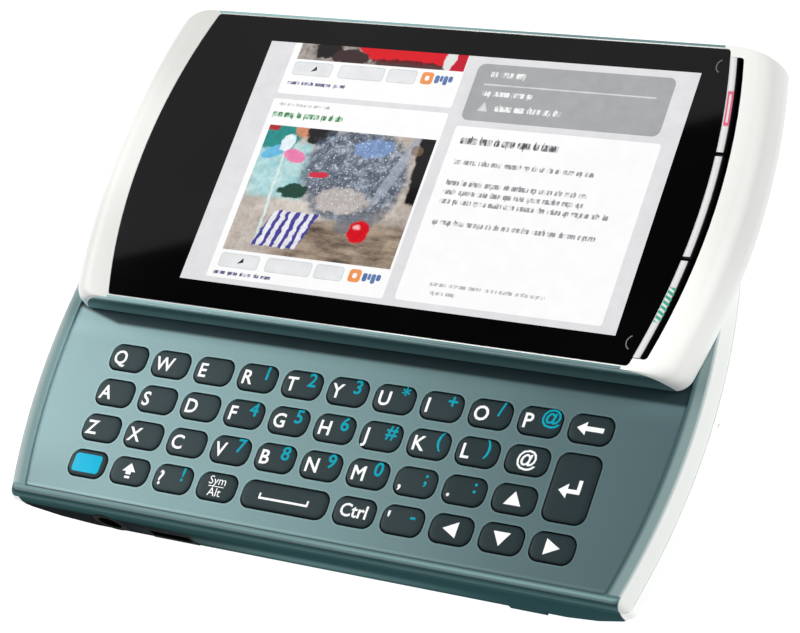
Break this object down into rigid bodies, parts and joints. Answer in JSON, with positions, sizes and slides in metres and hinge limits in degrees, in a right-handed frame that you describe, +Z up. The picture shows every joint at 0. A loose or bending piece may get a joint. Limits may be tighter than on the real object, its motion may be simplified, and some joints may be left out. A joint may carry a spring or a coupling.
{
  "type": "slider phone",
  "caption": "Horizontal slider phone, modelled open: display half on headed shoes over a base with a full keyboard, side keys, audio jack and data socket.",
  "frame": {"origin": "on the flat rest face of the back, in the middle of the base", "axes": "+X along the phone towards the end with the call keys, +Y the way the display half opens, +Z up out of the display"},
  "size_m": [0.109, 0.0795, 0.0151],
  "materials": {
    "white_casing": "warm white, glossy",
    "teal_casing": "dark teal, satin gloss",
    "deck_panel": "grey teal, satin",
    "key_plastic": "charcoal, soft matte",
    "silicone": "dark, matte",
    "guide_plastic": "black, smooth",
    "battery_wrap": "dark grey wrap",
    "board_parts": "green board with dark parts",
    "window_glass": "black printed glass, polished",
    "display_frame": "dark panel",
    "steel_plate": "brushed",
    "white_keys": "white, glossy"
  },
  "bodies": {
    "base": {"mid_frame": "teal_casing", "battery_cover": "white_casing", "keyboard_deck": "deck_panel", "key_mat": "silicone", "slide_guides": "guide_plastic", "battery": "battery_wrap", "main_board": "board_parts"},
    "display_half": {"slider_shell": "white_casing", "side_trims": "teal_casing", "display_window": "window_glass", "display_module": "display_frame", "rail_plate": "steel_plate"},
    "call_key": {"call_key": "white_keys"},
    "menu_key": {"menu_key": "white_keys"},
    "end_key": {"end_key": "white_keys"},
    "volume_key": {"volume_key": "teal_casing"},
    "camera_key": {"camera_key": "teal_casing"},
    "power_key": {"power_key": "white_keys"},
    "key_q": {"key_q": "key_plastic"},
    "key_w": {"key_w": "key_plastic"},
    "key_e": {"key_e": "key_plastic"},
    "key_r": {"key_r": "key_plastic"},
    "key_t": {"key_t": "key_plastic"},
    "key_y": {"key_y": "key_plastic"},
    "key_u": {"key_u": "key_plastic"},
    "key_i": {"key_i": "key_plastic"},
    "key_o": {"key_o": "key_plastic"},
    "key_p": {"key_p": "key_plastic"},
    "key_backspace": {"key_backspace": "key_plastic"},
    "key_a": {"key_a": "key_plastic"},
    "key_s": {"key_s": "key_plastic"},
    "key_d": {"key_d": "key_plastic"},
    "key_f": {"key_f": "key_plastic"},
    "key_g": {"key_g": "key_plastic"},
    "key_h": {"key_h": "key_plastic"},
    "key_j": {"key_j": "key_plastic"},
    "key_k": {"key_k": "key_plastic"},
    "key_l": {"key_l": "key_plastic"},
    "key_at_sign": {"key_at_sign": "key_plastic"},
    "key_enter": {"key_enter": "key_plastic"},
    "key_z": {"key_z": "key_plastic"},
    "key_x": {"key_x": "key_plastic"},
    "key_c": {"key_c": "key_plastic"},
    "key_v": {"key_v": "key_plastic"},
    "key_b": {"key_b": "key_plastic"},
    "key_n": {"key_n": "key_plastic"},
    "key_m": {"key_m": "key_plastic"},
    "key_comma": {"key_comma": "key_plastic"},
    "key_period": {"key_period": "key_plastic"},
    "key_up": {"key_up": "key_plastic"},
    "key_function": {"key_function": "key_plastic"},
    "key_shift": {"key_shift": "key_plastic"},
    "key_question": {"key_question": "key_plastic"},
    "key_symbol": {"key_symbol": "key_plastic"},
    "key_space": {"key_space": "key_plastic"},
    "key_control": {"key_control": "key_plastic"},
    "key_quote": {"key_quote": "key_plastic"},
    "key_left": {"key_left": "key_plastic"},
    "key_down": {"key_down": "key_plastic"},
    "key_right": {"key_right": "key_plastic"}
  },
  "joints": [
    {"name": "display_slide", "type": "slide", "parent": "base", "child": "display_half", "axis": [0, 1, 0], "range_m": [-0.0289, 0]},
    {"name": "call_key_press", "type": "slide", "parent": "display_half", "child": "call_key", "axis": [0, 0, -1], "range_m": [0, 0.0003], "stiffness_N_per_m": 1500},
    {"name": "menu_key_press", "type": "slide", "parent": "display_half", "child": "menu_key", "axis": [0, 0, -1], "range_m": [0, 0.0003], "stiffness_N_per_m": 1500},
    {"name": "end_key_press", "type": "slide", "parent": "display_half", "child": "end_key", "axis": [0, 0, -1], "range_m": [0, 0.0003], "stiffness_N_per_m": 1500},
    {"name": "volume_key_press", "type": "slide", "parent": "base", "child": "volume_key", "axis": [0, -1, 0], "range_m": [0, 0.0003], "stiffness_N_per_m": 1500},
    {"name": "camera_key_press", "type": "slide", "parent": "base", "child": "camera_key", "axis": [0, -1, 0], "range_m": [0, 0.0003], "stiffness_N_per_m": 1500},
    {"name": "power_key_press", "type": "slide", "parent": "base", "child": "power_key", "axis": [1, 0, 0], "range_m": [0, 0.0003], "stiffness_N_per_m": 1500},
    {"name": "key_q_press", "type": "slide", "parent": "base", "child": "key_q", "axis": [0, 0, -1], "range_m": [0, 0.0003], "stiffness_N_per_m": 1500},
    {"name": "key_w_press", "type": "slide", "parent": "base", "child": "key_w", "axis": [0, 0, -1], "range_m": [0, 0.0003], "stiffness_N_per_m": 1500},
    {"name": "key_e_press", "type": "slide", "parent": "base", "child": "key_e", "axis": [0, 0, -1], "range_m": [0, 0.0003], "stiffness_N_per_m": 1500},
    {"name": "key_r_press", "type": "slide", "parent": "base", "child": "key_r", "axis": [0, 0, -1], "range_m": [0, 0.0003], "stiffness_N_per_m": 1500},
    {"name": "key_t_press", "type": "slide", "parent": "base", "child": "key_t", "axis": [0, 0, -1], "range_m": [0, 0.0003], "stiffness_N_per_m": 1500},
    {"name": "key_y_press", "type": "slide", "parent": "base", "child": "key_y", "axis": [0, 0, -1], "range_m": [0, 0.0003], "stiffness_N_per_m": 1500},
    {"name": "key_u_press", "type": "slide", "parent": "base", "child": "key_u", "axis": [0, 0, -1], "range_m": [0, 0.0003], "stiffness_N_per_m": 1500},
    {"name": "key_i_press", "type": "slide", "parent": "base", "child": "key_i", "axis": [0, 0, -1], "range_m": [0, 0.0003], "stiffness_N_per_m": 1500},
    {"name": "key_o_press", "type": "slide", "parent": "base", "child": "key_o", "axis": [0, 0, -1], "range_m": [0, 0.0003], "stiffness_N_per_m": 1500},
    {"name": "key_p_press", "type": "slide", "parent": "base", "child": "key_p", "axis": [0, 0, -1], "range_m": [0, 0.0003], "stiffness_N_per_m": 1500},
    {"name": "key_backspace_press", "type": "slide", "parent": "base", "child": "key_backspace", "axis": [0, 0, -1], "range_m": [0, 0.0003], "stiffness_N_per_m": 1500},
    {"name": "key_a_press", "type": "slide", "parent": "base", "child": "key_a", "axis": [0, 0, -1], "range_m": [0, 0.0003], "stiffness_N_per_m": 1500},
    {"name": "key_s_press", "type": "slide", "parent": "base", "child": "key_s", "axis": [0, 0, -1], "range_m": [0, 0.0003], "stiffness_N_per_m": 1500},
    {"name": "key_d_press", "type": "slide", "parent": "base", "child": "key_d", "axis": [0, 0, -1], "range_m": [0, 0.0003], "stiffness_N_per_m": 1500},
    {"name": "key_f_press", "type": "slide", "parent": "base", "child": "key_f", "axis": [0, 0, -1], "range_m": [0, 0.0003], "stiffness_N_per_m": 1500},
    {"name": "key_g_press", "type": "slide", "parent": "base", "child": "key_g", "axis": [0, 0, -1], "range_m": [0, 0.0003], "stiffness_N_per_m": 1500},
    {"name": "key_h_press", "type": "slide", "parent": "base", "child": "key_h", "axis": [0, 0, -1], "range_m": [0, 0.0003], "stiffness_N_per_m": 1500},
    {"name": "key_j_press", "type": "slide", "parent": "base", "child": "key_j", "axis": [0, 0, -1], "range_m": [0, 0.0003], "stiffness_N_per_m": 1500},
    {"name": "key_k_press", "type": "slide", "parent": "base", "child": "key_k", "axis": [0, 0, -1], "range_m": [0, 0.0003], "stiffness_N_per_m": 1500},
    {"name": "key_l_press", "type": "slide", "parent": "base", "child": "key_l", "axis": [0, 0, -1], "range_m": [0, 0.0003], "stiffness_N_per_m": 1500},
    {"name": "key_at_sign_press", "type": "slide", "parent": "base", "child": "key_at_sign", "axis": [0, 0, -1], "range_m": [0, 0.0003], "stiffness_N_per_m": 1500},
    {"name": "key_enter_press", "type": "slide", "parent": "base", "child": "key_enter", "axis": [0, 0, -1], "range_m": [0, 0.0003], "stiffness_N_per_m": 1500},
    {"name": "key_z_press", "type": "slide", "parent": "base", "child": "key_z", "axis": [0, 0, -1], "range_m": [0, 0.0003], "stiffness_N_per_m": 1500},
    {"name": "key_x_press", "type": "slide", "parent": "base", "child": "key_x", "axis": [0, 0, -1], "range_m": [0, 0.0003], "stiffness_N_per_m": 1500},
    {"name": "key_c_press", "type": "slide", "parent": "base", "child": "key_c", "axis": [0, 0, -1], "range_m": [0, 0.0003], "stiffness_N_per_m": 1500},
    {"name": "key_v_press", "type": "slide", "parent": "base", "child": "key_v", "axis": [0, 0, -1], "range_m": [0, 0.0003], "stiffness_N_per_m": 1500},
    {"name": "key_b_press", "type": "slide", "parent": "base", "child": "key_b", "axis": [0, 0, -1], "range_m": [0, 0.0003], "stiffness_N_per_m": 1500},
    {"name": "key_n_press", "type": "slide", "parent": "base", "child": "key_n", "axis": [0, 0, -1], "range_m": [0, 0.0003], "stiffness_N_per_m": 1500},
    {"name": "key_m_press", "type": "slide", "parent": "base", "child": "key_m", "axis": [0, 0, -1], "range_m": [0, 0.0003], "stiffness_N_per_m": 1500},
    {"name": "key_comma_press", "type": "slide", "parent": "base", "child": "key_comma", "axis": [0, 0, -1], "range_m": [0, 0.0003], "stiffness_N_per_m": 1500},
    {"name": "key_period_press", "type": "slide", "parent": "base", "child": "key_period", "axis": [0, 0, -1], "range_m": [0, 0.0003], "stiffness_N_per_m": 1500},
    {"name": "key_up_press", "type": "slide", "parent": "base", "child": "key_up", "axis": [0, 0, -1], "range_m": [0, 0.0003], "stiffness_N_per_m": 1500},
    {"name": "key_function_press", "type": "slide", "parent": "base", "child": "key_function", "axis": [0, 0, -1], "range_m": [0, 0.0003], "stiffness_N_per_m": 1500},
    {"name": "key_shift_press", "type": "slide", "parent": "base", "child": "key_shift", "axis": [0, 0, -1], "range_m": [0, 0.0003], "stiffness_N_per_m": 1500},
    {"name": "key_question_press", "type": "slide", "parent": "base", "child": "key_question", "axis": [0, 0, -1], "range_m": [0, 0.0003], "stiffness_N_per_m": 1500},
    {"name": "key_symbol_press", "type": "slide", "parent": "base", "child": "key_symbol", "axis": [0, 0, -1], "range_m": [0, 0.0003], "stiffness_N_per_m": 1500},
    {"name": "key_space_press", "type": "slide", "parent": "base", "child": "key_space", "axis": [0, 0, -1], "range_m": [0, 0.0003], "stiffness_N_per_m": 1500},
    {"name": "key_control_press", "type": "slide", "parent": "base", "child": "key_control", "axis": [0, 0, -1], "range_m": [0, 0.0003], "stiffness_N_per_m": 1500},
    {"name": "key_quote_press", "type": "slide", "parent": "base", "child": "key_quote", "axis": [0, 0, -1], "range_m": [0, 0.0003], "stiffness_N_per_m": 1500},
    {"name": "key_left_press", "type": "slide", "parent": "base", "child": "key_left", "axis": [0, 0, -1], "range_m": [0, 0.0003], "stiffness_N_per_m": 1500},
    {"name": "key_down_press", "type": "slide", "parent": "base", "child": "key_down", "axis": [0, 0, -1], "range_m": [0, 0.0003], "stiffness_N_per_m": 1500},
    {"name": "key_right_press", "type": "slide", "parent": "base", "child": "key_right", "axis": [0, 0, -1], "range_m": [0, 0.0003], "stiffness_N_per_m": 1500}
  ]
}
